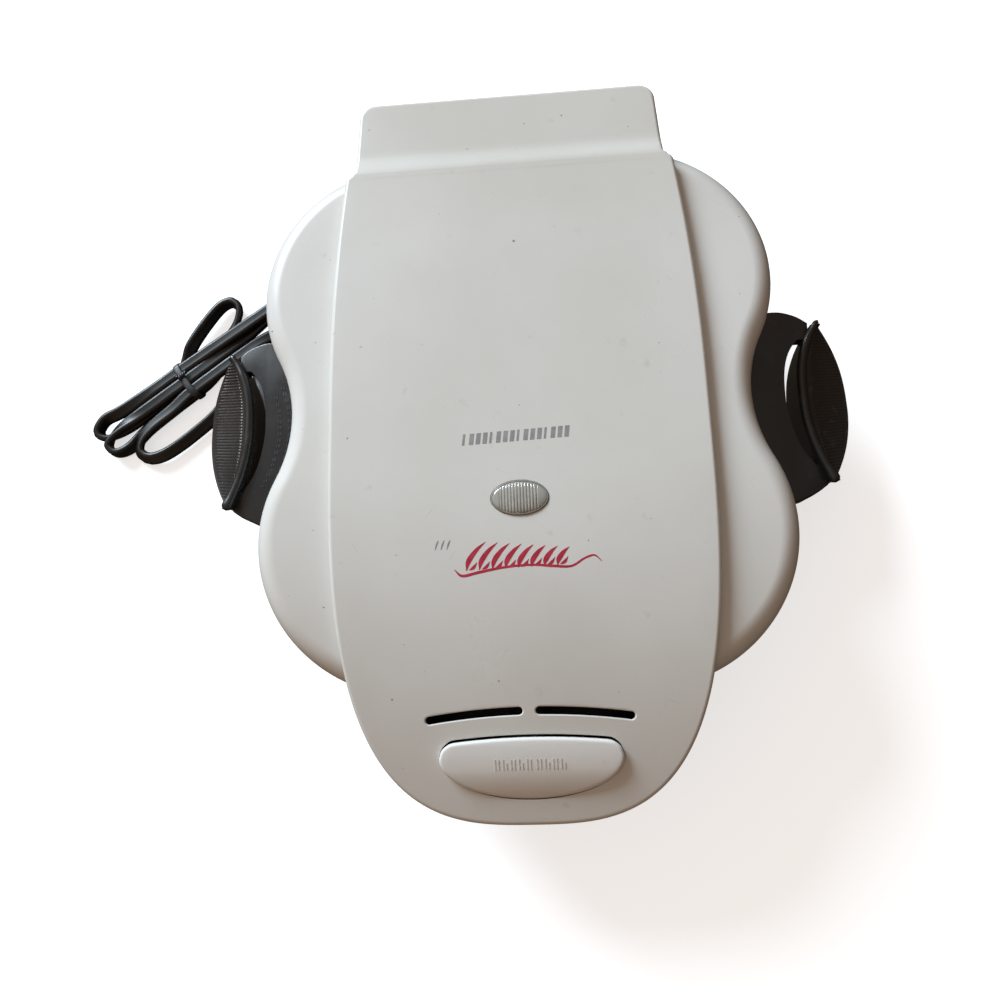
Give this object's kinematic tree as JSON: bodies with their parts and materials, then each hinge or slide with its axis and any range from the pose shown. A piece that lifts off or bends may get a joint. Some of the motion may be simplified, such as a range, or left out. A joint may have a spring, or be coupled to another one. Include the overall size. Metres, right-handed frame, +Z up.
{
  "type": "countertop pastry shell baker",
  "caption": "Closed countertop baker with a lobed white lid, raised cover with a release button, black base with round baking wells, side grips and a bundled cord.",
  "frame": {"origin": "middle of the bottom of the appliance's box, on the surface it stands on, without its cord", "axes": "+Z up; -Y towards the side with the release button; +X to the right of someone facing that side"},
  "size_m": [0.4361, 0.3622, 0.0988],
  "materials": {
    "white_plastic": "satin moulded",
    "black_plastic": "fine satin",
    "coated_aluminium": "dark non-stick coating",
    "rubber": "matte",
    "steel": "satin",
    "reflector_aluminium": "plain sheet",
    "lens": "ribbed, translucent",
    "lamp_glass": "clear",
    "ceramic": "unglazed",
    "cord_jacket": "smooth",
    "brass": "plain"
  },
  "bodies": {
    "base": {"base_shell": "black_plastic", "front_nose": "black_plastic", "catch_plate": "steel", "lower_plate": "coated_aluminium", "lower_element": "steel", "lower_reflector": "reflector_aluminium", "terminal_block": "ceramic", "hinge_pin": "steel", "hinge_bracket_left": "black_plastic", "hinge_bracket_right": "black_plastic", "left_handle": "black_plastic", "right_handle": "black_plastic", "foot_front_left": "rubber", "foot_front_right": "rubber", "foot_rear_left": "rubber", "foot_rear_right": "rubber", "base_screw_front_left": "steel", "base_screw_front_right": "steel", "base_screw_rear_left": "steel", "base_screw_rear_right": "steel", "strain_relief": "rubber", "cord_lead": "cord_jacket", "cord_hank": "cord_jacket", "cord_loop": "cord_jacket", "cord_tail": "cord_jacket", "plug_body": "cord_jacket", "plug_blade_left": "brass", "plug_blade_right": "brass"},
    "lid": {"lid_shell": "white_plastic", "top_cover": "white_plastic", "indicator_lens": "lens", "indicator_lamp": "lamp_glass", "lamp_leads": "rubber", "upper_plate": "coated_aluminium", "upper_element": "steel", "upper_reflector": "reflector_aluminium", "thermostat": "ceramic", "thermal_fuse": "brass", "hinge_arm_left": "steel", "hinge_arm_right": "steel", "button_pin": "steel", "latch_spring": "steel"},
    "button": {"release_button": "white_plastic", "latch_hook": "steel"}
  },
  "joints": [
    {"name": "lid_hinge", "type": "hinge", "parent": "base", "child": "lid", "pos_m": [0, 0.1561, 0.05], "axis": [-1, 0, 0], "range_deg": [0, 95]},
    {"name": "button_press", "type": "hinge", "parent": "lid", "child": "button", "pos_m": [0, -0.1659, 0.069], "axis": [-1, 0, 0], "range_deg": [0, 4.2], "stiffness_Nm_per_rad": 0.8, "springref_deg": -2.86}
  ]
}
